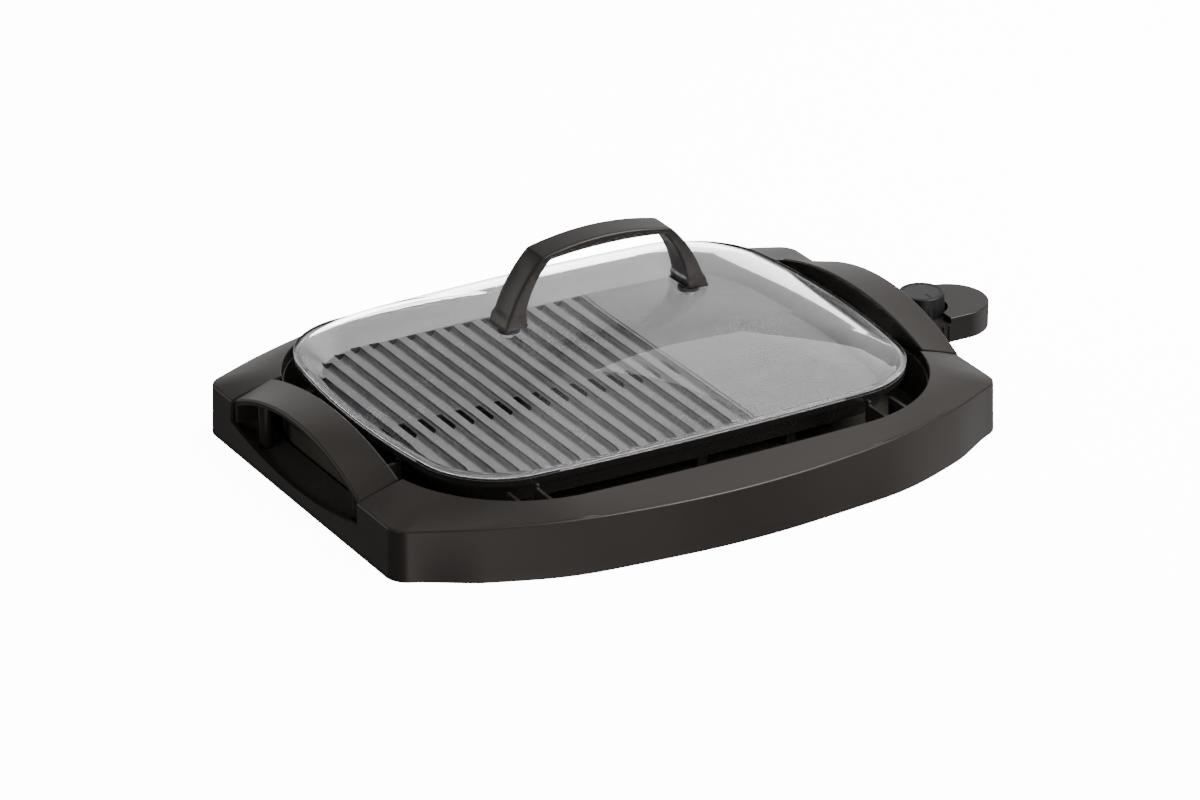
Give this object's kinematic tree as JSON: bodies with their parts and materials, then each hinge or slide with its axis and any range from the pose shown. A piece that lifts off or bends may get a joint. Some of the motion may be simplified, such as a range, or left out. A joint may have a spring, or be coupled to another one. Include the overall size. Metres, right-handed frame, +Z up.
{
  "type": "electric griddle",
  "caption": "Low electric griddle with a ribbed lift-off cooking plate, domed glass lid with a bridge handle, arched end handles, drip tray and plug-in thermostat control.",
  "frame": {"origin": "on the surface the feet stand on, below the centre of the cooking plate", "axes": "+Z up, +X along the length towards the thermostat control, +Y towards the back"},
  "size_m": [0.5846, 0.421, 0.157],
  "materials": {
    "body_plastic": "satin moulded",
    "control_plastic": "satin moulded",
    "handle_plastic": "satin moulded",
    "knob_plastic": "fine matt",
    "knob_face": "satin",
    "nonstick_plate": "cast, with a glossy dark non-stick coating",
    "tray_aluminium": "rolled",
    "lid_glass": "polished",
    "bottom_sheet": "moulded, fine grain",
    "screw_steel": "zinc plated",
    "washer_steel": "zinc plated",
    "foot_rubber": "matt",
    "gasket_rubber": "matt",
    "liner_sheet": "pressed, with a dark heat-resistant coating",
    "element_steel": "heat darkened",
    "bracket_steel": "pressed",
    "ceramic_block": "fired ceramic look",
    "pin_brass": "turned",
    "probe_steel": "drawn tube",
    "blade_metal": "rolled strip",
    "lens_plastic": "tinted",
    "lamp_glass": "clear",
    "spindle_steel": "turned"
  },
  "bodies": {
    "base": {"base_frame": "body_plastic", "left_handle_cover": "body_plastic", "right_handle_cover": "body_plastic", "handle_screws": "screw_steel", "bottom_cover": "bottom_sheet", "cover_screws": "screw_steel", "liner_screws": "screw_steel", "rubber_feet": "foot_rubber", "well_liner": "liner_sheet", "heating_element": "element_steel", "element_brackets": "bracket_steel", "terminal_block": "ceramic_block", "terminal_pins": "pin_brass", "earth_strap": "bracket_steel", "socket_shroud": "body_plastic"},
    "plate": {"cooking_plate": "nonstick_plate"},
    "tray": {"drip_tray": "tray_aluminium"},
    "lid": {"lid_glass": "lid_glass", "lid_handle": "handle_plastic", "lid_handle_gaskets": "gasket_rubber", "lid_handle_washers": "washer_steel", "lid_handle_screws": "screw_steel"},
    "control": {"control_body_upper": "control_plastic", "control_body_lower": "control_plastic", "control_screws": "screw_steel", "sensor_rod": "probe_steel", "contact_sleeves": "pin_brass", "thermostat_frame": "bracket_steel", "bimetal_blade": "blade_metal", "contact_leaf": "pin_brass", "leaf_insulator": "ceramic_block", "indicator_lens": "lens_plastic", "indicator_lamp": "lamp_glass", "cord_gland": "gasket_rubber"},
    "knob": {"control_knob": "knob_plastic", "knob_cap": "knob_face", "knob_spindle": "spindle_steel"},
    "adjuster": {"adjuster_pin": "ceramic_block"}
  },
  "joints": [
    {"name": "plate_lift", "type": "slide", "parent": "base", "child": "plate", "axis": [0, 0, 1], "range_m": [0, 0.1]},
    {"name": "tray_lift", "type": "slide", "parent": "base", "child": "tray", "axis": [0, 0, 1], "range_m": [0, 0.07]},
    {"name": "lid_lift", "type": "slide", "parent": "plate", "child": "lid", "axis": [0, 0, 1], "range_m": [0, 0.12]},
    {"name": "control_unplug", "type": "slide", "parent": "base", "child": "control", "axis": [1, 0, 0], "range_m": [0, 0.12]},
    {"name": "knob_turn", "type": "hinge", "parent": "control", "child": "knob", "pos_m": [0.2793, 0, 0.035], "axis": [0, 0, -1], "range_deg": [0, 270]},
    {"name": "adjuster_slide", "type": "slide", "parent": "control", "child": "adjuster", "axis": [0, 0, -1], "range_m": [0, 0.0012]}
  ],
  "couplings": [
    {"joint": "tray_lift", "follows": "plate_lift", "ratio": 0.7},
    {"joint": "adjuster_slide", "follows": "knob_turn", "m_per_rad": 0.000254}
  ]
}
